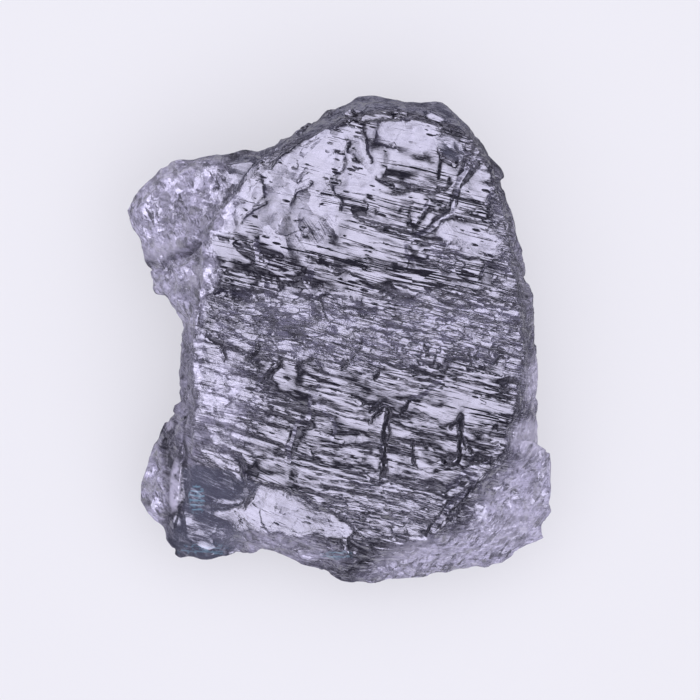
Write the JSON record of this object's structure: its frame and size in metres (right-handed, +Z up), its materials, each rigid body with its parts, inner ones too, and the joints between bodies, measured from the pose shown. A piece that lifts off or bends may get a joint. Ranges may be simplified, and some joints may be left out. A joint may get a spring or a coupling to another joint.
{
  "type": "rough diamond",
  "caption": "Irregular grey rough diamond with fine parallel growth ledges, rough lobes at its corners and a flat cleavage face to rest on.",
  "frame": {"origin": "under the middle of the stone's bounding box, on the surface it rests on", "axes": "+Z up, away from the resting face; +Y along the stone's longest side; the stone is lowest along +Z"},
  "size_m": [0.0106, 0.0122, 0.0062],
  "materials": {
    "diamond": "gloss"
  },
  "bodies": {
    "root": {"rough_diamond": "diamond"}
  },
  "joints": []
}
